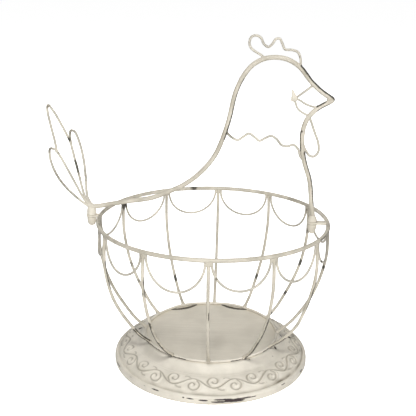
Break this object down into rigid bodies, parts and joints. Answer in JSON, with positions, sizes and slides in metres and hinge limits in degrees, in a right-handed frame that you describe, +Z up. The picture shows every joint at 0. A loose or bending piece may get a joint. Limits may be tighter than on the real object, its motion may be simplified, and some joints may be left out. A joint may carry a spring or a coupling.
{
  "type": "wire egg basket",
  "caption": "Round open-wire egg and produce basket on a flared pressed metal base, with scalloped wire trim under the rim and a carrying handle bent as the outline of a hen.",
  "frame": {"origin": "on the surface it stands on, under the middle of the overall length and width", "axes": "+Z up, +X towards the hen's beak along the handle's plane, +Y to the hen's left side"},
  "size_m": [0.2714, 0.2256, 0.3213],
  "materials": {
    "wire_paint": "cream enamel on bent steel wire, satin, worn dark in spots",
    "trim_paint": "cream enamel on fine wire, satin, greyer at bends and tips",
    "base_paint": "cream enamel on pressed sheet, satin, brown wear along the rolled edge",
    "stud_steel": "plain steel studs, hidden inside the knobs"
  },
  "bodies": {
    "basket": {"base_plate": "base_paint", "foot_ring": "wire_paint", "rim_ring": "wire_paint", "rib_01": "wire_paint", "rib_02": "wire_paint", "rib_03": "wire_paint", "rib_04": "wire_paint", "rib_05": "wire_paint", "rib_06": "wire_paint", "rib_07": "wire_paint", "rib_08": "wire_paint", "rib_09": "wire_paint", "rib_10": "wire_paint", "rib_11": "wire_paint", "rib_12": "wire_paint", "scallop_01": "trim_paint", "scallop_02": "trim_paint", "scallop_03": "trim_paint", "scallop_04": "trim_paint", "scallop_05": "trim_paint", "scallop_06": "trim_paint", "scallop_07": "trim_paint", "scallop_08": "trim_paint", "scallop_09": "trim_paint", "scallop_10": "trim_paint", "scallop_11": "trim_paint", "scallop_12": "trim_paint", "tail_tab": "wire_paint", "breast_tab": "wire_paint", "handle_frame": "wire_paint", "tail_feather_low": "trim_paint", "tail_feather_high": "trim_paint", "tail_feather_tall": "trim_paint", "comb": "trim_paint", "brow_wire": "trim_paint", "beak_wire": "trim_paint", "cheek_wire": "trim_paint", "eye_bead": "trim_paint", "wattle": "trim_paint", "neck_ruffle": "trim_paint", "tail_ferrule": "wire_paint", "breast_ferrule": "wire_paint", "tail_stud": "stud_steel", "breast_stud": "stud_steel"},
    "tail_nut_body": {"tail_nut": "wire_paint"},
    "breast_nut_body": {"breast_nut": "wire_paint"}
  },
  "joints": [
    {"name": "tail_nut_turn", "type": "hinge", "parent": "basket", "child": "tail_nut_body", "pos_m": [-0.09537, 0, 0.1397], "axis": [0, 0, 1], "continuous": true},
    {"name": "breast_nut_turn", "type": "hinge", "parent": "basket", "child": "breast_nut_body", "pos_m": [0.11783, 0, 0.1394], "axis": [0, 0, 1], "continuous": true}
  ]
}
